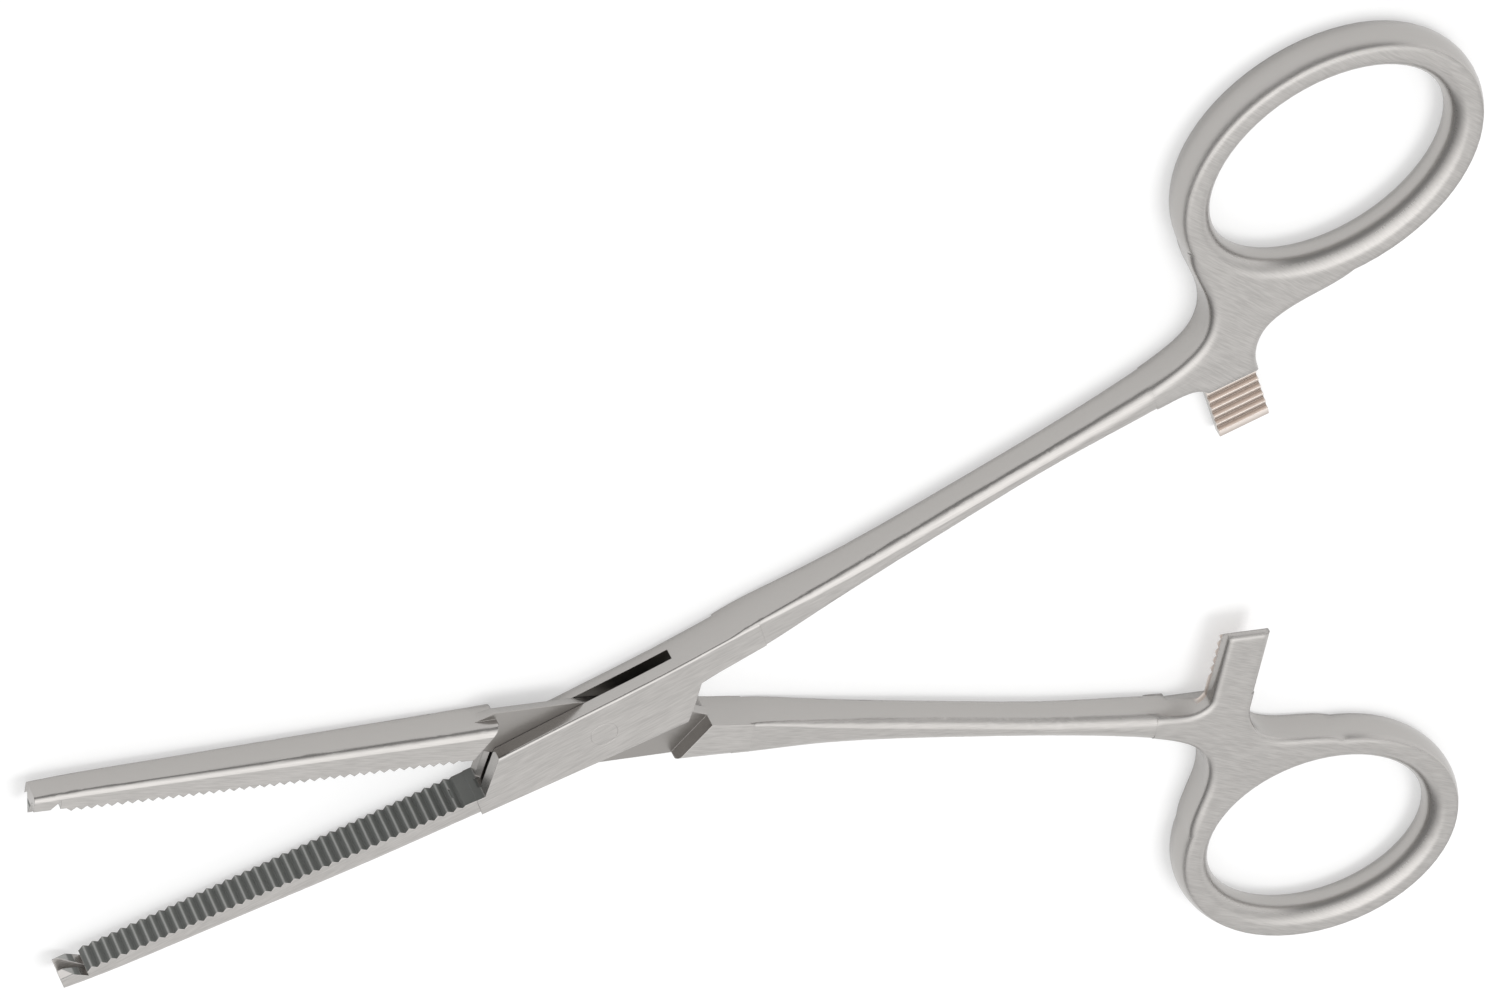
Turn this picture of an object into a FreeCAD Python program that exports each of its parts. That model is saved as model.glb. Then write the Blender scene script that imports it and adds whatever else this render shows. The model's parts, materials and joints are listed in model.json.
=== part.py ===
import FreeCAD, Part
import math
import os

os.makedirs("parts", exist_ok=True)

V = FreeCAD.Vector

# A straight, toothed hemostatic forceps with a box lock, lying on its back face.
# Two steel forgings cross in the lock and turn on one flush pin.
#
# Each half is drawn in its own closed frame: the pin axis at the origin, the jaws toward -X,
# the handle toward +X and +Y, z = 0 on the middle plane. The lock half is drawn the same way
# round and is then turned over about the X axis, so both halves read alike.

# Driving sizes, all in mm and degrees
THICK = 4.4                 # thickness over the lock, the thickest place
WALL = 1.53                 # each wall of the box
WAIST_PLAY = 0.04           # free play between the waist and each wall
PIN_D = 2.8                 # pivot pin
PIN_PLAY = 0.04             # radial running play of the pin in the waist
JAW_FACE = 1.26             # distance of the closed jaw line from the pin axis
MESH_GAP = 0.06             # clearance between the closed jaw faces
OPEN_BOX = 11.18            # turn of the box half out of the closed line, as it lies open
OPEN_LOCK = 12.32           # turn of the lock half out of the closed line, as it lies open

# Jaws
JAW_END = -58.1             # end of the jaws
JAW_ROOT = -11.0            # the jaws grow out of the lock here
JAW_TIP_T = 2.95            # jaw thickness at the end
FACE_WIDTHS_BOX = (3.4, 2.5)    # width of the flat jaw face at the root and at the end
FACE_WIDTHS_LOCK = (3.1, 1.9)
JAW_ROUNDS = (0.9, 0.6)     # rounding of the outer jaw edges at the root and at the end
SERR_PITCH = 1.02
SERR_DEPTH = 0.42
SERR_START = -54.8
SERR_COUNT = 39

# End teeth: one tooth on the lock half bites between two on the box half
TOOTH_BACK = -55.4          # where the end teeth stop
TOOTH_MID = 1.15            # height of the single tooth
TOOTH_SIDE = 0.9            # height of the pair
TOOTH_Z = 0.8               # sideways place of the pair

# Handle. The shank after its root: (x, inner wall, outer wall, thickness, edge rounding)
SHANK = [
    (22.0, 2.45, 5.80, 4.15, 0.60),
    (31.0, 4.02, 6.90, 3.90, 0.95),
    (40.0, 5.60, 8.30, 3.75, 1.05),
    (50.0, 7.35, 9.90, 3.80, 1.10),
    (60.0, 8.60, 11.75, 4.10, 1.15),
    (66.0, 9.50, 13.40, 4.24, 1.15),
    (71.0, 11.0, 16.00, 4.10, 1.10),
]
SHANK_ROOT_X = 14.5
ROOT_BOX = (1.6, 4.85)      # inner and outer wall at the root of the shank
ROOT_LOCK = (1.45, 5.3)
HANDLE_SET_BOX = 0.6        # each handle is set a little off the common shape
HANDLE_SET_LOCK = -0.6
RING_T = 4.2                # ring thickness
RING_C = (85.2, 29.9)       # ring centre
RING_A = 14.15              # half length of the finger opening at its front edge
RING_B = 12.05              # half width of the same
RING_TILT = 12.0
RING_FLAT = 1.7             # flat front band of the ring
RING_IN = 1.4               # the inner side of the ring bulges inward by this
RING_OUT = 0.6              # the outer side bulges outward by this

# The web between shank and ring. Its sides leave the shank and the arm and run onto the ring;
# the points near the ring are (angle in the ring's own frame, distance beyond its outer side).
WEB_ROUND = 0.8
WEB_FROM_X = 62.0
WEB_CROTCH = (0.7, -0.6)    # how far the crotch lies off the straight way from shank to ring
WEB_OUTER = [(205.6, 3.8), (199.1, 1.9), (188.2, 0.6), (178.0, -0.2)]
WEB_INNER = [(257.2, -0.5), (238.8, 0.95), (230.0, 2.3), (225.2, 4.4)]
WEB_CORNER = 1.9            # reach of the rounded corner between shank and ratchet arm

# Ratchet
ARM_X = 70.15               # middle line of both arms
ARM_W_BOX = 5.4
ARM_W_LOCK = 4.7
ARM_STEP = 8.2              # the arm is half as thick from here to its free end
ARM_SLOPE = 1.1             # length of the slanted step
ARM_END_BOX = 0.1           # y of the free end of the arm of the box half
ARM_END_LOCK = -1.65        # the arm of the lock half is longer
ARM_TILT_BOX = 2.5
ARM_TILT_LOCK = 0.0
LEAD_BOX = (1.2, 0.4)       # slanted free end: length and depth
LEAD_LOCK = (1.25, 1.2)
RATCHET_PITCH = 1.12
RATCHET_H = 0.5
RATCHET_COUNT = 5
RATCHET_GAP = 0.1           # play between the crests as the arms pass

# Outlines of the lock, each in the closed frame of its half
BOX_UNDER = -3.62           # outer side of the box on its jaw side
BOX_TOP = [(-10.5, 2.95), (-0.1, 3.7), (9.9, 4.5), (14.9, 5.1), (18.0, 5.4)]
BOX_BELOW = [(18.0, 2.15), (14.9, 1.7), (12.6, 1.35), (10.7, 0.95)]
BOX_HEEL = (9.5, -1.35)     # corner of the handle end of both walls
BOX_HEEL_X = 8.1
MOUTH = (-13.1, -14.0)      # x of the wall ends at the jaw line, and of the jaw root
SLOT_END = [(10.9, 0.95), (8.9, 4.35)]
SLOT_FLOOR_X = -6.6         # here the floor of the slot reaches the under side of the box
MOUTH_BEVEL = (0.5, 0.35)   # bevel inside the end of the back wall: along the wall, into the wall
LOCK_TOP = [(8.51, 5.15), (11.5, 5.22), (14.5, 5.35), (16.3, 5.5)]
LOCK_BELOW = [(16.3, 1.5), (14.9, 1.25), (13.0, 1.0), (11.6, 0.75)]
SHOULDER = [(-13.45, 1.26), (-10.85, -2.95)]    # jaw side shoulder of the lock half
WAIST_UNDER = [(12.2, 5.0), (8.5, 5.2), (0.5, 5.25), (-6.0, 3.7), (-13.6, 1.0)]
WAIST_OVER = [(-14.2, -2.0), (-11.3, -2.75), (-3.0, -2.75), (4.0, -2.3), (12.2, 0.95)]
WAIST_LEAN = 0.5            # the jaw side edge of the waist leans out toward the back

# Outer sides of the jaws along X
JAW_WALL_BOX = [
    (JAW_ROOT, BOX_UNDER), (-25.0, -3.64), (-35.0, -3.5), (-45.0, -3.3), (-53.0, -3.1), (JAW_END, -2.7),
]
JAW_WALL_LOCK = [
    (JAW_ROOT, -2.45), (-17.0, -2.2), (-26.0, -1.9), (-36.0, -1.55), (-46.0, -1.2),
    (-53.0, -0.95), (JAW_END, -0.6),
]

HALF = THICK / 2
SLOT = THICK - 2 * WALL
WAIST = SLOT - 2 * WAIST_PLAY


def face_edges(runs):
    """Edges in the XY plane. Each run is a list of points: two give a line, more a smooth curve."""
    edges = []
    for run in runs:
        pts = [V(x, y, 0) for x, y in run]
        if len(pts) == 2:
            edges.append(Part.makeLine(pts[0], pts[1]))
        else:
            curve = Part.BSplineCurve()
            curve.interpolate(pts)
            edges.append(curve.toShape())
    return edges


def corners(points):
    """Runs of straight lines round a list of corners."""
    return [[a, b] for a, b in zip(points, points[1:] + points[:1])]


def plate(runs, z0, z1):
    """Straight plate over an outline, from z0 to z1."""
    flat = Part.Face(Part.Wire(face_edges(runs)))
    flat.translate(V(0, 0, z0))
    return flat.extrude(V(0, 0, z1 - z0))


def soften(body, runs, z, radius):
    """Fillet the edges that the given runs of an outline leave in the plane z."""
    wanted = []
    for run in runs:
        line = Part.Wire(face_edges([run])).Edges[0]
        mid = line.valueAt((line.FirstParameter + line.LastParameter) / 2)
        wanted.append(V(mid.x, mid.y, z))
    found = []
    for edge in body.Edges:
        mid = edge.valueAt((edge.FirstParameter + edge.LastParameter) / 2)
        if any(mid.distanceToPoint(w) < 1e-3 for w in wanted):
            found.append(edge)
    return body.makeFillet(radius, found)


def oval(a, b):
    """Closed ellipse about the origin with half axes a along X and b along Y."""
    if a >= b:
        return Part.Wire([Part.Ellipse(V(0, 0, 0), a, b).toShape()])
    turned = Part.Ellipse(V(0, b, 0), V(-a, 0, 0), V(0, 0, 0))
    return Part.Wire([turned.toShape()])


def round_section(origin, along, width, thick, radius):
    """Rounded rectangle standing across the direction `along`."""
    side = V(-along.y, along.x, 0)
    up = V(0, 0, 1)
    a = width / 2
    b = thick / 2
    k = radius * (1 - math.sqrt(0.5))

    def at(s, t):
        return origin + side * s + up * t

    stops = []
    for ss, st in [(1, 1), (-1, 1), (-1, -1), (1, -1)]:
        on_side = at(ss * a, st * (b - radius))
        on_flat = at(ss * (a - radius), st * b)
        mid = at(ss * (a - k), st * (b - k))
        stops.append((on_side, mid, on_flat) if ss * st > 0 else (on_flat, mid, on_side))
    edges = []
    for i, (first, mid, last) in enumerate(stops):
        edges.append(Part.Arc(first, mid, last).toShape())
        edges.append(Part.makeLine(last, stops[(i + 1) % 4][0]))
    return Part.Wire(edges)


def shank(inner, outer):
    """Tapered bar from the lock to the ratchet; inner and outer are its walls at the root."""
    stations = [(SHANK_ROOT_X, inner, outer, THICK - 0.03, 0.35)] + SHANK
    wires = []
    last = len(stations) - 1
    for i, (x, low, high, thick, radius) in enumerate(stations):
        before = stations[max(i - 1, 0)]
        after = stations[min(i + 1, last)]
        rise = (after[1] + after[2] - before[1] - before[2]) / 2
        along = V(after[0] - before[0], rise, 0)
        along.normalize()
        wires.append(round_section(V(x, (low + high) / 2, 0), along, (high - low) * along.x, thick, radius))
    return Part.makeLoft(wires, True, False)


def ring():
    """Oval finger ring: flat band in front and behind, round inner side, slightly convex outer side."""
    t = RING_T / 2
    x0 = RING_A
    x1 = RING_A + RING_FLAT
    front = Part.makeLine(V(x0, 0, t), V(x1, 0, t))
    outer = Part.Arc(V(x1, 0, t), V(x1 + RING_OUT, 0, 0), V(x1, 0, -t)).toShape()
    back = Part.makeLine(V(x1, 0, -t), V(x0, 0, -t))
    inner = Part.Arc(V(x0, 0, -t), V(x0 - RING_IN, 0, 0), V(x0, 0, t)).toShape()
    section = Part.Wire([front, outer, back, inner])
    band = oval(RING_A, RING_B).makePipeShell([section], True, False)
    band.rotate(V(0, 0, 0), V(0, 0, 1), RING_TILT)
    band.translate(V(RING_C[0], RING_C[1], 0))
    return band


def near_ring(angle, beyond):
    """Point at an angle round the ring, this far beyond its outer side."""
    t = math.radians(angle)
    a = RING_A + RING_FLAT + RING_OUT
    b = RING_B + RING_FLAT + RING_OUT
    reach = 1 / math.hypot(math.cos(t) / a, math.sin(t) / b) + beyond
    turn = t + math.radians(RING_TILT)
    return (RING_C[0] + reach * math.cos(turn), RING_C[1] + reach * math.sin(turn))


def shank_walls(x):
    """Inner and outer wall of the shank at x, between two stations of its list."""
    for a, b in zip(SHANK, SHANK[1:]):
        if a[0] <= x <= b[0]:
            part = (x - a[0]) / (b[0] - a[0])
            return a[1] + part * (b[1] - a[1]), a[2] + part * (b[2] - a[2])
    return SHANK[-1][1], SHANK[-1][2]


def web(width):
    """The flat web that joins shank, ring and ratchet arm, with soft outer edges."""
    left = ARM_X - width / 2
    right = ARM_X + width / 2
    low, high = shank_walls(WEB_FROM_X)
    start = (WEB_FROM_X, high - 0.2)
    low3, high3 = shank_walls(WEB_FROM_X + 3)
    leave = (WEB_FROM_X + 3, high3 - 0.05)
    rise = near_ring(*WEB_OUTER[0])
    crotch = ((leave[0] + rise[0]) / 2 + WEB_CROTCH[0], (leave[1] + rise[1]) / 2 + WEB_CROTCH[1])
    outer = [start, leave, crotch] + [near_ring(*place) for place in WEB_OUTER]
    inner = [near_ring(*place) for place in WEB_INNER]
    neck = ((inner[-1][0] + right) / 2 - 0.35, (inner[-1][1] + ARM_STEP + ARM_SLOPE) / 2 + 0.35)
    inner += [neck, (right, ARM_STEP + ARM_SLOPE)]
    c = WEB_CORNER
    corner = [
        (left, ARM_STEP - 0.9), (left - 0.08 * c, ARM_STEP), (left - 0.45 * c, ARM_STEP + 0.75),
        (left - 1.2 * c, ARM_STEP + 1.15), (WEB_FROM_X, low + 0.3),
    ]
    runs = [
        outer,
        [outer[-1], RING_C],
        [RING_C, inner[0]],
        inner,
        [inner[-1], (right, corner[0][1])],
        [(right, corner[0][1]), corner[0]],
        corner,
        [corner[-1], start],
    ]
    t = RING_T / 2
    body = plate(runs, -t, t)
    for z in (t, -t):
        body = soften(body, [runs[0]], z, WEB_ROUND)
        body = soften(body, [runs[3], runs[6]], z, WEB_ROUND / 2)
    core = Part.Face(oval(RING_A + RING_FLAT / 2, RING_B + RING_FLAT / 2)).extrude(V(0, 0, THICK * 2))
    core.rotate(V(0, 0, 0), V(0, 0, 1), RING_TILT)
    core.translate(V(RING_C[0], RING_C[1], -THICK))
    return body.cut(core)


def across(points, x0, x1):
    """Prism along X over a profile of (y, z) corners."""
    pts = [V(x0, y, z) for y, z in points]
    return Part.Face(Part.makePolygon(pts + [pts[0]])).extrude(V(x1 - x0, 0, 0))


def ratchet_arm(width, end, tilt, lead):
    """Half thick arm lying on the back side, with slanted locking teeth on its front face."""
    t = RING_T / 2
    crest = -RATCHET_GAP / 2
    left = ARM_X - width / 2
    length = ARM_STEP + 1.5 - end
    arm = Part.makeBox(width, length, t + crest, V(left, end, -t))
    rim = [[(left, end), (left, end + length)], [(left + width, end), (left + width, end + length)]]
    arm = soften(arm, rim, -t, 0.5)
    x0 = left - 1
    x1 = left + width + 1
    cutters = []
    for i in range(RATCHET_COUNT):
        y = end + lead[0] + i * RATCHET_PITCH
        cutters.append(across(
            [(y, crest), (y + 0.12, crest - RATCHET_H), (y + RATCHET_PITCH - 0.08, crest)], x0, x1))
    cutters.append(across(
        [(end, crest + 0.5), (end, crest - lead[1]), (end + lead[0], crest), (end + lead[0], crest + 0.5)],
        x0, x1))
    arm = arm.cut(cutters)
    arm.rotate(V(ARM_X, ARM_STEP, 0), V(0, 0, 1), tilt)
    return arm


def handle(root, set_angle, arm_width, arm_end, arm_tilt, lead):
    """Shank, web, ring and ratchet arm of one half."""
    body = shank(*root).fuse([web(arm_width), ring()])
    body.rotate(V(0, 0, 0), V(0, 0, 1), set_angle)
    crest = -RATCHET_GAP / 2
    free = across([
        (ARM_STEP - 20, crest), (ARM_STEP, crest), (ARM_STEP + ARM_SLOPE, RING_T / 2 + 0.02),
        (ARM_STEP + ARM_SLOPE, THICK), (ARM_STEP - 20, THICK),
    ], ARM_X - 6, ARM_X + 6)
    free.rotate(V(ARM_X, ARM_STEP, 0), V(0, 0, 1), arm_tilt)
    return body.cut(free).fuse(ratchet_arm(arm_width, arm_end, arm_tilt, lead))


def jaw_section(x, face, outer, thick, face_w, r):
    """Section of a jaw across X: flat face, bevelled edges beside it, rounded outer side."""
    s = 1 if face > outer else -1
    h = thick / 2
    f = face_w / 2
    bevel = face - s * (h - f) * 1.1
    k = r * (1 - math.sqrt(0.5))
    low = outer + s * r
    arc1 = Part.Arc(V(x, low, h), V(x, outer + s * k, h - k), V(x, outer, h - r)).toShape()
    arc2 = Part.Arc(V(x, outer, r - h), V(x, outer + s * k, k - h), V(x, low, -h)).toShape()
    return Part.Wire([
        Part.makeLine(V(x, face, -f), V(x, face, f)),
        Part.makeLine(V(x, face, f), V(x, bevel, h)),
        Part.makeLine(V(x, bevel, h), V(x, low, h)),
        arc1,
        Part.makeLine(V(x, outer, h - r), V(x, outer, r - h)),
        arc2,
        Part.makeLine(V(x, low, -h), V(x, bevel, -h)),
        Part.makeLine(V(x, bevel, -h), V(x, face, -f)),
    ])


def jaw(line, walls, tall, widths):
    """Tapered jaw. line is the y of its face, walls its outer side along X, tall the crest above the line."""
    s = 1 if line > walls[0][1] else -1
    wires = []
    for x, outer in walls:
        part = (x - JAW_ROOT) / (JAW_END - JAW_ROOT)
        thick = (THICK - 0.02) * (1 - part) + JAW_TIP_T * part
        width = widths[0] * (1 - part) + widths[1] * part
        round_r = JAW_ROUNDS[0] * (1 - part) + JAW_ROUNDS[1] * part
        wires.append(jaw_section(x, line + s * tall, outer, thick, width, round_r))
    return Part.makeLoft(wires, True, False)


def comb(level, shift):
    """What is taken off the jaw face: V grooves along Z from the end teeth back to the flat."""
    tops = level + SERR_DEPTH / 2
    deep = level - SERR_DEPTH / 2
    far = level + 6
    start = SERR_START + shift
    pts = [(TOOTH_BACK, far), (TOOTH_BACK, deep), (start - SERR_PITCH / 2, deep)]
    for i in range(SERR_COUNT):
        x = start + i * SERR_PITCH
        pts.append((x, tops))
        pts.append((x + SERR_PITCH / 2, deep))
    pts.append((pts[-1][0] + 0.3, level))
    pts.append((5.0, level))
    pts.append((5.0, far))
    return plate(corners(pts), -HALF - 1, HALF + 1)


def tooth_cutter(level, sign):
    """What is taken off the jaw end so the single tooth (sign -1) and the pair (sign 1) interlock."""
    half_w = THICK
    zig = [
        (-half_w, 0.2), (-1.4, 0.2), (-TOOTH_Z, TOOTH_SIDE), (0, -TOOTH_MID),
        (TOOTH_Z, TOOTH_SIDE), (1.4, 0.2), (half_w, 0.2),
    ]
    far = level + 6
    x0 = JAW_END - 1
    pts = [V(x0, far, -half_w)]
    pts += [V(x0, level + sign * y, z) for z, y in zig]
    pts += [V(x0, far, half_w)]
    return Part.Face(Part.makePolygon(pts + [pts[0]])).extrude(V(TOOTH_BACK - x0, 0, 0))


def finish_jaw(blank, line, sign, back):
    """Cut serrations, end teeth and the slope behind them. back lists the slope's two ends."""
    level = line - MESH_GAP / 2
    shift = 0 if sign > 0 else SERR_PITCH / 2
    (x0, h0), (x1, h1) = back
    slope = [(x0, line + h0), (x1, line + h1), (x1, line + 6), (x0, line + 6)]
    cutters = [comb(level, shift), tooth_cutter(level, sign), plate(corners(slope), -THICK, THICK)]
    return blank.cut(cutters)


def box_half():
    """Box half in its closed frame: jaw below the line, slotted box, handle above."""
    mouth = (MOUTH[0], -JAW_FACE)
    low = [(BOX_HEEL_X, BOX_UNDER), (MOUTH[1], BOX_UNDER)]
    runs = [
        BOX_TOP,
        [BOX_TOP[-1], BOX_BELOW[0]],
        BOX_BELOW,
        [BOX_BELOW[-1], BOX_HEEL],
        [BOX_HEEL, low[0]],
        low,
        [low[1], (MOUTH[1], -JAW_FACE)],
        [(MOUTH[1], -JAW_FACE), mouth],
        [mouth, BOX_TOP[0]],
    ]
    block = plate(runs, -HALF, HALF)
    block = soften(block, [BOX_TOP], HALF, 0.25)
    block = soften(block, [BOX_TOP], -HALF, 0.8)
    block = soften(block, [low], HALF, 0.35)
    block = soften(block, [low], -HALF, 0.5)

    back = [(JAW_END + 0.5, TOOTH_SIDE), (TOOTH_BACK, -0.9)]
    blank = jaw(-JAW_FACE, JAW_WALL_BOX, TOOTH_SIDE + 0.1, FACE_WIDTHS_BOX)
    lower_jaw = finish_jaw(blank, -JAW_FACE, 1, back)

    body = block.fuse([
        lower_jaw,
        handle(ROOT_BOX, HANDLE_SET_BOX, ARM_W_BOX, ARM_END_BOX, ARM_TILT_BOX, LEAD_BOX),
    ])
    far = 2 * THICK
    slot = [
        (MOUTH[0] - 3, -JAW_FACE), (MOUTH[0] - 0.3, -JAW_FACE), (SLOT_FLOOR_X, BOX_UNDER),
        (SLOT_FLOOR_X, -far), (BOX_BELOW[-1][0] + 1.1, -far), (BOX_BELOW[-1][0] + 1.1, 0.6),
        SLOT_END[0], SLOT_END[1], (SLOT_END[1][0], far), (MOUTH[0] - 3, far),
    ]
    cutters = [plate(corners(slot), -SLOT / 2, SLOT / 2), mouth_bevel(mouth, BOX_TOP[0])]
    cutters.append(Part.makeCylinder(PIN_D / 2, THICK + 2, V(0, 0, -HALF - 1)))
    return body.cut(cutters).Solids[0]


def mouth_bevel(low, high):
    """Wedge that opens the mouth of the slot into the end of the back wall, from low to high."""
    run = V(high[0] - low[0], high[1] - low[1], 0)
    length = run.Length
    run.normalize()
    inward = V(run.y, -run.x, 0)
    deep, tall = MOUTH_BEVEL
    h = SLOT / 2
    base = V(low[0], low[1], 0)
    profile = [(-deep, 0), (deep, 0), (deep, -h), (-deep, -h - 2 * tall)]
    pts = [base + inward * u + V(0, 0, w) for u, w in profile]
    return Part.Face(Part.makePolygon(pts + [pts[0]])).extrude(run * (length + 1))


def waist():
    """Thin neck of the lock half. Its jaw side edge leans out toward the back."""
    wires = []
    for z, lean in ((WAIST / 2, 0), (-WAIST / 2, WAIST_LEAN)):
        outline = WAIST_UNDER + [WAIST_OVER[0]]
        outline += [(x, y - lean) for x, y in WAIST_OVER[1:3]]
        outline += WAIST_OVER[3:]
        pts = [V(x, y, z) for x, y in outline]
        wires.append(Part.makePolygon(pts + [pts[0]]))
    return Part.makeLoft(wires, True, True)


def lock_half():
    """Lock half in its closed frame, drawn the same way round as the box half."""
    runs = [LOCK_TOP, [LOCK_TOP[-1], LOCK_BELOW[0]], LOCK_BELOW, [LOCK_BELOW[-1], LOCK_TOP[0]]]
    block = plate(runs, -HALF, HALF)
    block = soften(block, [LOCK_TOP], HALF, 0.25)
    block = soften(block, [LOCK_TOP], -HALF, 0.8)

    back = [(JAW_END + 0.4, TOOTH_MID), (TOOTH_BACK, -1.3)]
    blank = jaw(JAW_FACE, JAW_WALL_LOCK, TOOTH_MID + 0.1, FACE_WIDTHS_LOCK)
    upper_jaw = finish_jaw(blank, JAW_FACE, -1, back)
    shoulder = SHOULDER + [(5.0, -6.0), (5.0, 6.0), (SHOULDER[0][0], 6.0)]
    upper_jaw = upper_jaw.cut(plate(corners(shoulder), -THICK, THICK))

    body = block.fuse([
        upper_jaw, waist(),
        handle(ROOT_LOCK, HANDLE_SET_LOCK, ARM_W_LOCK, ARM_END_LOCK, ARM_TILT_LOCK, LEAD_LOCK),
    ])
    bore = Part.makeCylinder(PIN_D / 2 + PIN_PLAY, THICK + 2, V(0, 0, -HALF - 1))
    return body.cut(bore).Solids[0]


def pivot_pin():
    """Pin riveted in both walls and ground flush with them."""
    return Part.makeCylinder(PIN_D / 2, THICK, V(0, 0, -HALF))


box = box_half()
lock = lock_half()
pin = pivot_pin()

# The lock half lies the other way up. Then both halves are turned apart, as the forceps lies open.
origin = V(0, 0, 0)
lock.rotate(origin, V(1, 0, 0), 180)
box.rotate(origin, V(0, 0, 1), OPEN_BOX)
lock.rotate(origin, V(0, 0, 1), -OPEN_LOCK)

# The frame stands in the middle of the outline, on the table.
b1 = box.optimalBoundingBox(False, False)
b2 = lock.optimalBoundingBox(False, False)
mid_x = (min(b1.XMin, b2.XMin) + max(b1.XMax, b2.XMax)) / 2
mid_y = (min(b1.YMin, b2.YMin) + max(b1.YMax, b2.YMax)) / 2
seat = V(-mid_x, -mid_y, HALF)

for name, shape in (("box_half", box), ("lock_half", lock), ("pivot_pin", pin)):
    shape.translate(seat)
    shape.exportStep("parts/" + name + ".step")
    b = shape.optimalBoundingBox(False, False)
    print(name, "volume", round(shape.Volume, 1), "mm3, x", round(b.XMin, 2), round(b.XMax, 2),
          "y", round(b.YMin, 2), round(b.YMax, 2), "z", round(b.ZMin, 3), round(b.ZMax, 3))
print("pivot axis at", round(seat.x, 3), round(seat.y, 3))
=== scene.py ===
# %% [markdown]
# # Hemostatic forceps
#
# The object is a straight, toothed forceps of satin steel, lying open on a white table. It has
# only three pieces: two forgings that cross in a box lock, and a pivot pin that is ground flush.
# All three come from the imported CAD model, because their shapes are already right. What this
# file adds is the finish of the steel, the light, the table and the camera.

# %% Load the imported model
import json
import math

import bpy
from mathutils import Matrix, Vector

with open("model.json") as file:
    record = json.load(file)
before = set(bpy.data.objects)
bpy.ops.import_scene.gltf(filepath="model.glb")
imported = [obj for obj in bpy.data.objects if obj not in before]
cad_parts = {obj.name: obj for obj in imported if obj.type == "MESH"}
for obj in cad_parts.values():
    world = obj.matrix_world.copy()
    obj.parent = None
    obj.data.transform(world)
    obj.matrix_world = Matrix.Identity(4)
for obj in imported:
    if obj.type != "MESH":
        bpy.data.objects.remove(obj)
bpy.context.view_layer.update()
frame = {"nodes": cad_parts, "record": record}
joint = frame["record"]["behaviour"]["joints"][0]
PIVOT = Vector(joint["pos_m"])
MM = 0.001
print("nodes:", sorted(frame["nodes"]))
print("pivot at", [round(v, 4) for v in PIVOT])

# %% [markdown]
# ## Small steps of a shader
#
# A finish is a recipe of small steps: a sum, a mix of two colours, a smooth change over a span.
# Each could be placed by hand in the shader editor. A short function for each keeps the recipe
# readable, and it returns the output socket, so one step can be put straight into the next.


# %% Shader helpers
def add_math(tree, operation, first, second=None):
    """Math node with each input linked or set, returned as its output."""
    node = tree.nodes.new("ShaderNodeMath")
    node.operation = operation
    for slot, value in enumerate((first, second)):
        if value is None:
            continue
        if isinstance(value, (int, float)):
            node.inputs[slot].default_value = value
        else:
            tree.links.new(value, node.inputs[slot])
    return node.outputs[0]


def add_range(tree, value, span, start=0.0, end=1.0):
    """Smooth change from start to end while the value crosses the span."""
    node = tree.nodes.new("ShaderNodeMapRange")
    node.interpolation_type = "SMOOTHSTEP"
    node.inputs["From Min"].default_value = span[0]
    node.inputs["From Max"].default_value = span[1]
    node.inputs["To Min"].default_value = start
    node.inputs["To Max"].default_value = end
    tree.links.new(value, node.inputs["Value"])
    return node.outputs["Result"]


def rise(tree, value, span_mm):
    """0 before a span that is given in mm, 1 after it."""
    return add_range(tree, value, (span_mm[0] * MM, span_mm[1] * MM))


def fall(tree, value, span_mm):
    """1 before a span that is given in mm, 0 after it."""
    return add_range(tree, value, (span_mm[0] * MM, span_mm[1] * MM), 1.0, 0.0)


def add_mix(tree, factor, first, second):
    """Mix of two colours, each linked or written as three numbers."""
    node = tree.nodes.new("ShaderNodeMix")
    node.data_type = "RGBA"
    tree.links.new(factor, node.inputs["Factor"])
    for name, value in (("A", first), ("B", second)):
        if isinstance(value, tuple):
            node.inputs[name].default_value = value + (1.0,)
        else:
            tree.links.new(value, node.inputs[name])
    return node.outputs["Result"]


def add_blend(tree, factor, first, second):
    """Mix of two plain values, each linked or set."""
    node = tree.nodes.new("ShaderNodeMix")
    node.data_type = "FLOAT"
    tree.links.new(factor, node.inputs["Factor"])
    for name, value in (("A", first), ("B", second)):
        if isinstance(value, (int, float)):
            node.inputs[name].default_value = value
        else:
            tree.links.new(value, node.inputs[name])
    return node.outputs["Result"]


# %% [markdown]
# ## Where a point lies on its half
#
# On the real forceps each half is finished by itself, and its brushing follows its length. Here
# each half lies at its own angle. The pattern could be laid out with a UV map, but place alone
# is enough for steel. So a Mapping node turns Object coordinates onto the half, with the pin at
# the origin. Along then runs from the pin toward the rings, across from the pin toward the
# half's own handle, and height from the middle plane, toward the front on the box half and
# toward the back on the lock half. The object normal tells the flats from the sides.

# %% Place on a half
TURN_BOX_HALF = math.radians(11.18)
TURN_LOCK_HALF = math.radians(-12.32)
MID_HEIGHT = 2.2 * MM


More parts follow.
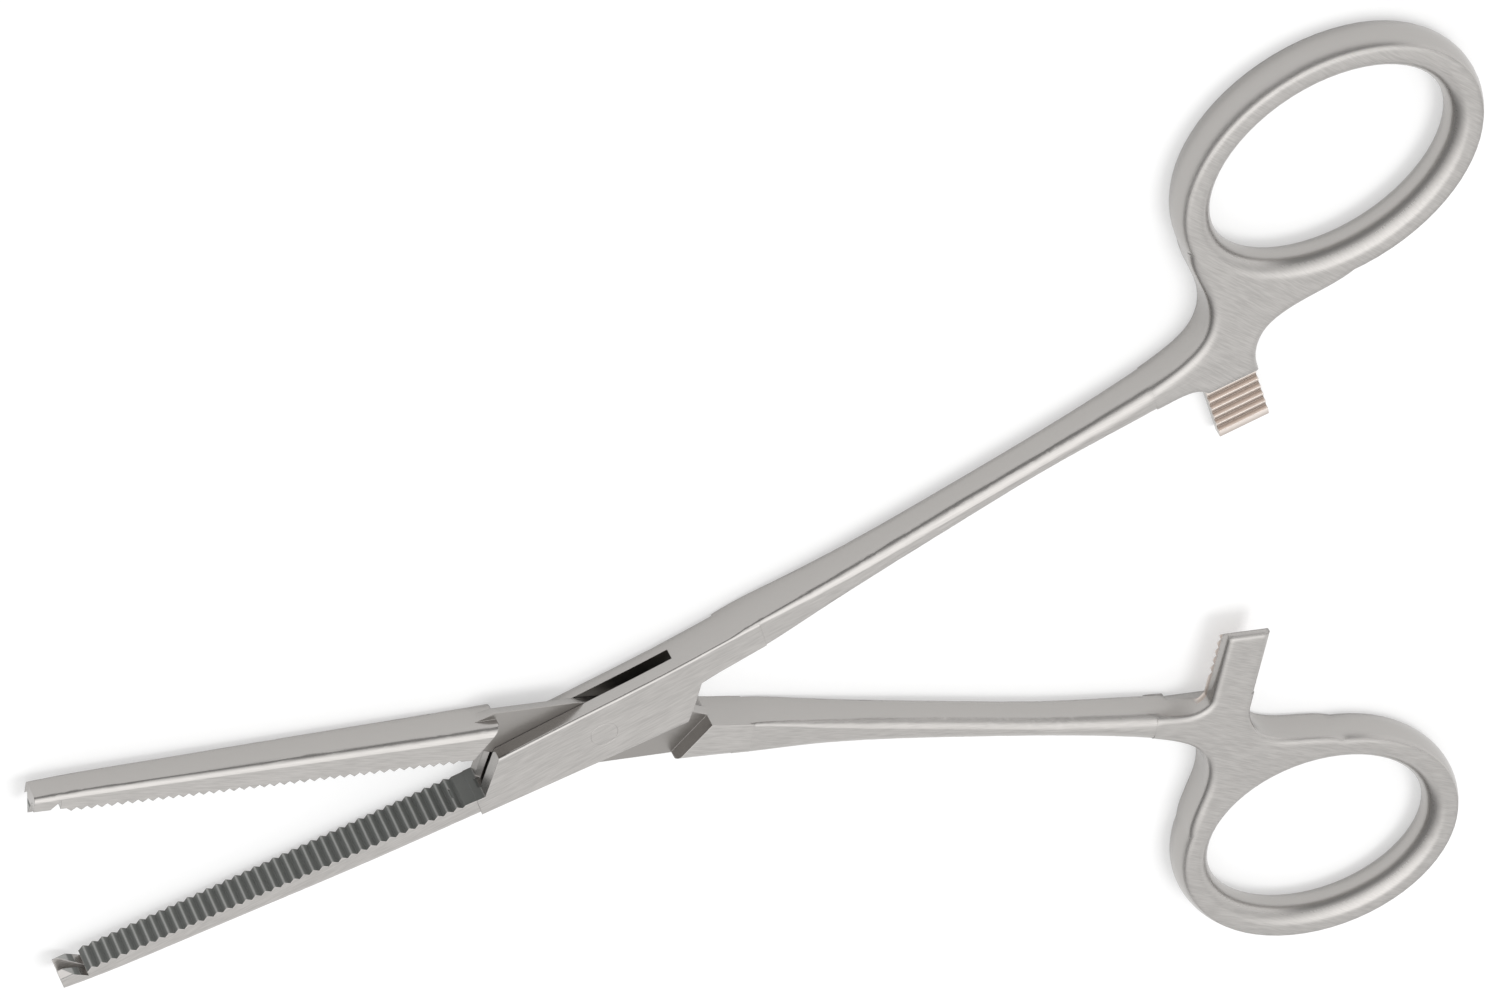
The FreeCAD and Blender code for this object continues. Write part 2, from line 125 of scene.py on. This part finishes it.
class HalfPlace:
    """Sockets that say where on its half a point of the surface lies."""

    def __init__(self, tree, turn, side):
        source = tree.nodes.new("ShaderNodeTexCoord")
        onto_half = tree.nodes.new("ShaderNodeMapping")
        onto_half.vector_type = "TEXTURE"
        onto_half.inputs["Location"].default_value = (PIVOT.x, PIVOT.y, MID_HEIGHT)
        onto_half.inputs["Rotation"].default_value = (0.0, 0.0, turn)
        tree.links.new(source.outputs["Object"], onto_half.inputs["Vector"])
        self.vector = onto_half.outputs["Vector"]
        apart = tree.nodes.new("ShaderNodeSeparateXYZ")
        tree.links.new(self.vector, apart.inputs["Vector"])
        self.along = apart.outputs["X"]
        self.across = add_math(tree, "MULTIPLY", apart.outputs["Y"], side)
        self.height = add_math(tree, "MULTIPLY", apart.outputs["Z"], side)
        normal = tree.nodes.new("ShaderNodeSeparateXYZ")
        tree.links.new(source.outputs["Normal"], normal.inputs["Vector"])
        self.upright = add_math(tree, "ABSOLUTE", normal.outputs["Z"])


print("halves open by", round(math.degrees(TURN_BOX_HALF - TURN_LOCK_HALF), 2), "degrees")

# %% [markdown]
# ## Brushing
#
# Surgical steel is ground and then brushed, so it shows fine scratches. They could be painted as
# an image, but a noise that is stretched along the brushing stays sharp at any distance. The
# lock and the shanks are brushed along the half, and the rings at a slant across it. So two
# noises stand at an angle to each other, and the place along the half mixes them.

# %% Brushing
LENGTHWISE = math.radians(6.0)
GRAIN_SCALE = (550.0, 11000.0, 3000.0)  # scratches in a metre: lengthways, sideways, upward
RING_ALONG = (60.0, 70.0)               # mm along the half, from the shank to the ring


def add_noise(tree, vector, angle, scale, detail):
    """Noise in axes that are turned about Z by the angle, with its own scale along each axis."""
    turned = tree.nodes.new("ShaderNodeVectorRotate")
    turned.rotation_type = "Z_AXIS"
    turned.inputs["Angle"].default_value = -angle
    tree.links.new(vector, turned.inputs["Vector"])
    stretch = tree.nodes.new("ShaderNodeMapping")
    stretch.inputs["Scale"].default_value = scale
    tree.links.new(turned.outputs["Vector"], stretch.inputs["Vector"])
    noise = tree.nodes.new("ShaderNodeTexNoise")
    noise.inputs["Scale"].default_value = 1.0
    noise.inputs["Detail"].default_value = detail
    tree.links.new(stretch.outputs["Vector"], noise.inputs["Vector"])
    return noise.outputs["Fac"]


def brushing(tree, place, side, slant):
    """Scratches of a half, which turn from its length to the slant of its ring."""
    lengthwise = add_noise(tree, place.vector, side * LENGTHWISE, GRAIN_SCALE, detail=2.0)
    slanted = add_noise(tree, place.vector, slant, GRAIN_SCALE, detail=2.0)
    return add_blend(tree, rise(tree, place.along, RING_ALONG), lengthwise, slanted)


print("scratches are about", round(1000.0 / GRAIN_SCALE[0], 1), "mm long and",
      round(1000.0 / GRAIN_SCALE[1], 2), "mm wide")

# %% [markdown]
# ## Ratchet teeth, jaw faces and neck
#
# Three places have another colour. The cut jaw faces are dark and matt, partly from their own cut
# finish and partly from painted shade that darkens the valleys and leaves the crests lighter. The
# ratchet teeth are brownish and matt, with painted shade in the valleys and a painted highlight on
# the crests. The thin neck that runs through the box is darker than the rest, which is painted
# shade of the recess it lies in. Each could have a material of its own, face by face, but the mesh
# of a CAD piece is left as it is. So a mask reads the place on the half and changes the colour
# there.

# %% Masks of the three places
RATCHET_ALONG = (66.4, 66.8)    # all spans in mm, unless a line says otherwise
RATCHET_ACROSS = (8.1, 8.4)
RATCHET_HEIGHT = (-0.75, -0.60)
JAW_ALONG = (-13.2, -13.0)
JAW_DEPTH = (-0.34, -0.30)      # across, counted from the jaw line
JAW_NORMAL = (0.20, 0.35)       # Z of the normal, from the cut faces to the flats
# span of the neck in the recess of the box, where shade is painted
NECK_ALONG = ((-16.0, -15.0), (12.0, 14.0))
NECK_NORMAL = (0.80, 0.95)      # Z of the normal, from the sides to the flats
NECK_HALF = (0.72, 0.80)        # a little over half its thickness


def product(tree, *factors):
    """All factors multiplied, so a mask holds only where every one of them does."""
    result = factors[0]
    for factor in factors[1:]:
        result = add_math(tree, "MULTIPLY", result, factor)
    return result


def ratchet_mask(tree, place):
    """The toothed face of the ratchet arm."""
    return product(
        tree,
        rise(tree, place.along, RATCHET_ALONG),
        fall(tree, place.across, RATCHET_ACROSS),
        rise(tree, place.height, RATCHET_HEIGHT),
    )


def jaw_mask(tree, place, depth):
    """The cut face of the jaw."""
    return product(
        tree,
        fall(tree, place.along, JAW_ALONG),
        add_range(tree, place.upright, JAW_NORMAL, 1.0, 0.0),
        rise(tree, depth, JAW_DEPTH),
    )


def neck_shade_mask(tree, place):
    """The flats of the neck in the box, and of the slot round it, which get painted shade."""
    return product(
        tree,
        fall(tree, place.along, NECK_ALONG[1]),
        rise(tree, place.along, NECK_ALONG[0]),
        add_range(tree, place.upright, NECK_NORMAL),
        fall(tree, add_math(tree, "ABSOLUTE", place.height), NECK_HALF),
    )


print("the neck's finish runs from", NECK_ALONG[0][0], "to", NECK_ALONG[1][1], "mm along")

# %% [markdown]
# ## Melted edges and slow waves
#
# The rings and webs are buffed until their edges melt away, and grinding by hand leaves slow
# waves on the faces. The mesh could be rounded, but its shape belongs to the CAD model, so only
# the shading is bent. A Bevel node bends it round the edges, more at the rings than at the crisp
# lock. One bump then adds the waves, and another the scratches.

# %% Bent shading
EDGE_LOCK = 0.10 * MM
EDGE_RING = 1.00 * MM
EDGE_ALONG = (50.0, 60.0)       # mm along the half, from crisp to melted edges
EDGE_SAMPLES = 8
WAVE_SCALE = (90.0, 240.0, 240.0)
WAVE_HEIGHT = 0.10 * MM
WAVE_STRENGTH = 0.6
GRAIN_HEIGHT = 0.006 * MM
GRAIN_STRENGTH = 0.3


def add_bump(tree, pattern, normal, height, strength):
    """Bump of a height in metres on top of the normal that it is given."""
    bump = tree.nodes.new("ShaderNodeBump")
    bump.inputs["Distance"].default_value = height
    bump.inputs["Strength"].default_value = strength
    tree.links.new(pattern, bump.inputs["Height"])
    tree.links.new(normal, bump.inputs["Normal"])
    return bump.outputs["Normal"]


def bent_normal(tree, place, grain, ratchet):
    """Normal bent round the edges, then by the waves, then by the scratches."""
    edge = tree.nodes.new("ShaderNodeBevel")
    edge.samples = EDGE_SAMPLES
    reach = add_blend(tree, rise(tree, place.along, EDGE_ALONG), EDGE_LOCK, EDGE_RING)
    tree.links.new(add_blend(tree, ratchet, reach, EDGE_LOCK), edge.inputs["Radius"])
    waves = add_noise(tree, place.vector, 0.0, WAVE_SCALE, detail=1.0)
    wavy = add_bump(tree, waves, edge.outputs["Normal"], WAVE_HEIGHT, WAVE_STRENGTH)
    return add_bump(tree, grain, wavy, GRAIN_HEIGHT, GRAIN_STRENGTH)


print("edges melt over", EDGE_RING / MM, "mm at the rings and", EDGE_LOCK / MM, "mm at the lock")

# %% [markdown]
# ## The steel
#
# Steel shows the room more than a colour of its own, so a Principled shader with full Metallic
# makes it, and the matt places give up a part of that. The scratches could be a change of tone
# alone. They drive the roughness as well, because real ones are seen by how they scatter light.
# The sides are buffed on a soft wheel, so they are smoother and show less grain. One recipe
# serves both halves and the pin, with each half's own angle in it.

# %% Satin steel
STEEL = (0.435, 0.420, 0.405)
SCRATCH_DARK = 0.88             # tone of the scratches, times that of the steel
SCRATCH_LIGHT = 1.08
GRAIN_TONE = (0.25, 0.75)       # part of the noise over which the tone changes
GRAIN_ROUGH = (0.30, 0.70)      # and over which the roughness does
# painted shade of the neck in the recess of the box
NECK_PAINTED_SHADE = (0.300, 0.287, 0.274)
# painted shade on the cut jaw faces: dark valleys, lighter crests, over their own matt finish
JAW_VALLEY_SHADE = (0.175, 0.180, 0.172)
JAW_CREST_LIT = (0.420, 0.422, 0.410)
JAW_SHADE_DEPTH = (0.02, 0.19)         # mm from the valleys in painted shade to the lighter crests
# ratchet teeth: brownish tone with painted shade in the valleys and a painted highlight on the
# crests
RATCHET_VALLEY_SHADE = (0.450, 0.390, 0.350)
RATCHET_CREST_HIGHLIGHT = (0.760, 0.690, 0.640)
RATCHET_SHADE_HEIGHT = (-0.50, -0.08)   # mm of height, from the valleys in painted shade to the crests with a painted highlight
RATCHET_MATT = 0.4              # how matt the teeth are, where the jaw faces are 1
MATT_LOSS = 0.45                # share of Metallic that a fully matt place gives up
FLAT_NORMAL = (0.55, 0.97)      # Z of the normal, from the sides to the flats
ROUGH_FLATS = (0.30, 0.40)
ROUGH_SIDES = 0.26
ROUGH_MATT = 0.50


def steel_tone(tree, flat, grain):
    """Steel with the light and dark of its scratches on the flats."""
    dark = tuple(SCRATCH_DARK * c for c in STEEL)
    light = tuple(SCRATCH_LIGHT * c for c in STEEL)
    brushed = add_mix(tree, add_range(tree, grain, GRAIN_TONE), dark, light)
    return add_mix(tree, flat, STEEL, brushed)


def satin_steel(name, turn, side, jaw_line, slant):
    """Satin steel for one half.

    turn is the angle at which the half lies, side is +1 or -1 for the side of its handle,
    jaw_line is the level of its jaw face in mm toward that side, and slant is the angle at
    which its ring is brushed.
    """
    steel = bpy.data.materials.new(name)
    steel.use_nodes = True
    tree = steel.node_tree
    shader = tree.nodes["Principled BSDF"]
    place = HalfPlace(tree, turn, side)
    grain = brushing(tree, place, side, slant)
    flat = add_range(tree, place.upright, FLAT_NORMAL)
    depth = add_math(tree, "SUBTRACT", place.across, jaw_line * MM)
    ratchet = ratchet_mask(tree, place)
    jaw = jaw_mask(tree, place, depth)

    colour = steel_tone(tree, flat, grain)
    # painted shade on the neck, where it lies in the recess of the box
    colour = add_mix(tree, neck_shade_mask(tree, place), colour, NECK_PAINTED_SHADE)
    # painted shade in the jaw's valleys, lighter toward the crests
    groove_shade = add_mix(tree, rise(tree, depth, JAW_SHADE_DEPTH), JAW_VALLEY_SHADE, JAW_CREST_LIT)
    colour = add_mix(tree, jaw, colour, groove_shade)
    # painted shade in the ratchet valleys and a painted highlight on its crests
    teeth_shade_and_highlight = add_mix(tree, rise(tree, place.height, RATCHET_SHADE_HEIGHT), RATCHET_VALLEY_SHADE, RATCHET_CREST_HIGHLIGHT)
    colour = add_mix(tree, ratchet, colour, teeth_shade_and_highlight)
    tree.links.new(colour, shader.inputs["Base Color"])

    matt = add_math(tree, "MAXIMUM", add_math(tree, "MULTIPLY", ratchet, RATCHET_MATT), jaw)
    metal = add_math(tree, "SUBTRACT", 1.0, add_math(tree, "MULTIPLY", matt, MATT_LOSS))
    tree.links.new(metal, shader.inputs["Metallic"])
    on_flats = add_range(tree, grain, GRAIN_ROUGH, *ROUGH_FLATS)
    rough = add_blend(tree, flat, ROUGH_SIDES, on_flats)
    tree.links.new(add_blend(tree, matt, rough, ROUGH_MATT), shader.inputs["Roughness"])
    tree.links.new(bent_normal(tree, place, grain, ratchet), shader.inputs["Normal"])
    return steel


print("steel tone", STEEL)

# %% [markdown]
# ## Dressing the pieces
#
# Each half is one forging, so it gets one steel from end to end. The pin is ground flush with the
# box and can't be told from it, so it is brushed like the box half. The finish goes into the
# material slots that the CAD pieces bring along, and nothing is moved.

# %% Dress the three pieces
JAW_LINE = 1.26                 # mm from the pin to the line on which the jaws meet
SLANT_BOX_RING = math.radians(-55.0)
SLANT_LOCK_RING = math.radians(-20.0)


def dress(node_name, finish):
    """Puts a finish on a CAD piece through its material slots."""
    piece = frame["nodes"][node_name]
    if not piece.material_slots:
        piece.data.materials.append(finish)
    for slot in piece.material_slots:
        slot.material = finish
    print(node_name, "gets", finish.name)


box_steel = satin_steel("steel_box_half", TURN_BOX_HALF, 1, -JAW_LINE, SLANT_BOX_RING)
lock_steel = satin_steel("steel_lock_half", TURN_LOCK_HALF, -1, JAW_LINE, SLANT_LOCK_RING)
pin_steel = satin_steel("steel_pin", TURN_BOX_HALF, 1, -JAW_LINE, 0.0)
dress("box_half", box_steel)
dress("lock_half", lock_steel)
dress("pivot_pin", pin_steel)

# %% [markdown]
# ## Table
#
# The forceps lies on a white table in soft studio light. The table is a large plane at height
# zero. It could be made white with more light, but that would wash out the steel as well. So its
# shader adds a glow of its own, and only for the camera and for what the steel mirrors. The open
# table then reads as plain white, and the shadow under the steel stays as faint as the photo
# has it.

# %% Table
TABLE_SIZE = 4.0
TABLE_TONE = 0.76
TABLE_TONE_SEEN = 0.62
TABLE_GLOW = 0.42
TABLE_ROUGH = 0.8
WHITE = (1.0, 1.0, 1.0)


def seen_rays(tree):
    """1 for the camera and for what metal or glass shows, 0 for rays that only carry light."""
    ray = tree.nodes.new("ShaderNodeLightPath")
    shown = add_math(tree, "ADD", ray.outputs["Is Glossy Ray"], ray.outputs["Is Transmission Ray"])
    seen = add_math(tree, "ADD", ray.outputs["Is Camera Ray"], shown)
    return add_math(tree, "MINIMUM", seen, 1.0)


def make_table():
    """White table top under the object."""
    bpy.ops.mesh.primitive_plane_add(size=TABLE_SIZE, location=(0.0, 0.0, 0.0))
    table = bpy.context.object
    table.name = "table"
    white = bpy.data.materials.new("table_white")
    white.use_nodes = True
    tree = white.node_tree
    shader = tree.nodes["Principled BSDF"]
    shader.inputs["Roughness"].default_value = TABLE_ROUGH
    shader.inputs["Specular IOR Level"].default_value = 0.0
    shader.inputs["Emission Color"].default_value = WHITE + (1.0,)
    seen = seen_rays(tree)
    glow = add_math(tree, "MULTIPLY", seen, TABLE_GLOW)
    tree.links.new(glow, shader.inputs["Emission Strength"])
    tone = add_mix(tree, seen, (TABLE_TONE,) * 3, (TABLE_TONE_SEEN,) * 3)
    tree.links.new(tone, shader.inputs["Base Color"])
    table.data.materials.append(white)


make_table()
print("table is", TABLE_SIZE, "m wide")

# %% [markdown]
# ## Light of the room
#
# The room lights everything at one plain level, at which a colour looks as it is written. Steel
# is the exception, because it shows what stands around it. For its reflections the room is not
# one grey. It is light behind the object, where the flat faces mirror it, and brightest overhead,
# where the rounded edges catch it. It is dark in a low band on the camera's side and on the side
# of the jaws, which draws the thin dark line between the front and the sides. A photo of a studio
# could give all this, but it can't be tuned zone by zone. So the world's own direction gives the
# zones, and Light Path keeps them for the reflections.

# %% Light of the room
ROOM_LEVEL = 0.80
ROOM_MIRRORED = 2.15
# Grey of the room by height over the horizon, which is 0 at the horizon and 1 overhead.
BEHIND = [(0.0, 0.67), (0.30, 0.55), (0.62, 0.37), (0.84, 0.80), (0.96, 1.0)]
BEFORE = [(0.0, 0.14), (0.38, 0.16), (0.58, 0.38), (0.84, 0.80), (0.96, 1.0)]
CAMERA_SIDE = 108.3             # azimuths in degrees
JAW_SIDE = -160.0
CAMERA_SIDE_EDGE = (0.10, 0.60) # where a dim side begins, 0 beside it and 1 right in it
JAW_SIDE_EDGE = (0.45, 0.80)


def facing(tree, axes, azimuth):
    """How far the direction looked in points to an azimuth, from -1 to 1."""
    part_x = add_math(tree, "MULTIPLY", axes.outputs["X"], math.cos(math.radians(azimuth)))
    part_y = add_math(tree, "MULTIPLY", axes.outputs["Y"], math.sin(math.radians(azimuth)))
    return add_math(tree, "ADD", part_x, part_y)


def height_ramp(tree, axes, stops):
    """Grey by height over the horizon, from a short list of (height, grey)."""
    ramp = tree.nodes.new("ShaderNodeValToRGB")
    points = ramp.color_ramp.elements
    while len(points) < len(stops):
        points.new(0.5)
    for point, (height, grey) in zip(points, stops):
        point.position = height
        point.color = (grey, grey, grey, 1.0)
    tree.links.new(axes.outputs["Z"], ramp.inputs["Fac"])
    return ramp.outputs["Color"]


def mirrored_zones(tree):
    """Room as the steel mirrors it: dim before the object, light behind it and overhead."""
    look = tree.nodes.new("ShaderNodeTexCoord")
    axes = tree.nodes.new("ShaderNodeSeparateXYZ")
    tree.links.new(look.outputs["Generated"], axes.inputs["Vector"])
    camera_side = add_range(tree, facing(tree, axes, CAMERA_SIDE), CAMERA_SIDE_EDGE)
    jaw_side = add_range(tree, facing(tree, axes, JAW_SIDE), JAW_SIDE_EDGE)
    dim = add_math(tree, "MAXIMUM", camera_side, jaw_side)
    return add_mix(tree, dim, height_ramp(tree, axes, BEHIND), height_ramp(tree, axes, BEFORE))


def light_room():
    """World that lights plainly, shows zones to the steel and plain white to the camera."""
    room = bpy.data.worlds.new("studio")
    bpy.context.scene.world = room
    room.use_nodes = True
    tree = room.node_tree
    ray = tree.nodes.new("ShaderNodeLightPath")
    mirrored = ray.outputs["Is Glossy Ray"]
    lit = tree.nodes["Background"]
    level = add_blend(tree, mirrored, ROOM_LEVEL, ROOM_MIRRORED)
    tree.links.new(level, lit.inputs["Strength"])
    tree.links.new(add_mix(tree, mirrored, WHITE, mirrored_zones(tree)), lit.inputs["Color"])

    shown = tree.nodes.new("ShaderNodeBackground")
    shown.inputs["Color"].default_value = WHITE + (1.0,)
    shown.inputs["Strength"].default_value = 1.0
    through = ray.outputs["Is Transmission Ray"]
    white_for = add_math(tree, "MAXIMUM", ray.outputs["Is Camera Ray"], through)
    pick = tree.nodes.new("ShaderNodeMixShader")
    tree.links.new(white_for, pick.inputs["Fac"])
    tree.links.new(lit.outputs["Background"], pick.inputs[1])
    tree.links.new(shown.outputs["Background"], pick.inputs[2])
    tree.links.new(pick.outputs["Shader"], tree.nodes["World Output"].inputs["Surface"])


light_room()
print("room lights at", ROOM_LEVEL, "and is mirrored at", ROOM_MIRRORED)

# %% [markdown]
# ## Lamp
#
# One soft lamp stands high on the right and casts the shadow. A small lamp would cast one too,
# but with a hard rim, so this one is wide. It is hidden from reflections, because it would burn
# a hot spot into the satin faces, and the bright overhead zone already does its part.


# %% Lamp
def soft_lamp(name, azimuth, elevation, distance, size, power):
    """Square lamp that faces the middle of the object."""
    az = math.radians(azimuth)
    el = math.radians(elevation)
    lamp = bpy.data.objects.new(name, bpy.data.lights.new(name, "AREA"))
    lamp.data.size = size
    lamp.data.energy = power
    lamp.visible_glossy = False
    away = Vector((math.cos(el) * math.cos(az), math.cos(el) * math.sin(az), math.sin(el)))
    lamp.location = away * distance
    lamp.rotation_euler = (-away).to_track_quat("-Z", "Y").to_euler()
    bpy.context.collection.objects.link(lamp)
    print(name, "stands at", [round(v, 2) for v in lamp.location])


soft_lamp("key", azimuth=-10.0, elevation=73.0, distance=1.1, size=0.50, power=3.8)

# %% [markdown]
# ## Camera
#
# The photo looks down on the forceps from the side of the ring of the box half, and the picture
# is turned, so the jaws point left. The camera could be moved about by eye. It is placed by its
# azimuth, its height over the table, its distance and its roll round the line of sight instead,
# because these can be worked out from the outlines in the photo.

# %% Camera
CAMERA_LENS = 183.22            # mm, for a sensor of the width below
CAMERA_SENSOR = 36.0
CAMERA_TARGET = Vector((-1.066, 23.452, 2.2)) * MM
CAMERA_DISTANCE = 736.11 * MM
CAMERA_AZIMUTH = math.radians(CAMERA_SIDE)
CAMERA_ELEVATION = math.radians(43.039)
CAMERA_ROLL = math.radians(151.096)

camera = bpy.data.objects.new("camera", bpy.data.cameras.new("camera"))
bpy.context.collection.objects.link(camera)
camera.data.lens = CAMERA_LENS
camera.data.sensor_width = CAMERA_SENSOR
toward_camera = Vector((
    math.cos(CAMERA_ELEVATION) * math.cos(CAMERA_AZIMUTH),
    math.cos(CAMERA_ELEVATION) * math.sin(CAMERA_AZIMUTH),
    math.sin(CAMERA_ELEVATION),
))
turn = (
    Matrix.Rotation(CAMERA_AZIMUTH + math.pi / 2, 4, "Z")
    @ Matrix.Rotation(math.pi / 2 - CAMERA_ELEVATION, 4, "X")
    @ Matrix.Rotation(CAMERA_ROLL, 4, "Z")
)
camera.matrix_world = Matrix.Translation(CAMERA_TARGET + toward_camera * CAMERA_DISTANCE) @ turn
bpy.context.scene.camera = camera
bpy.context.scene.view_settings.view_transform = "Standard"
print("camera at", [round(v, 3) for v in camera.matrix_world.translation])
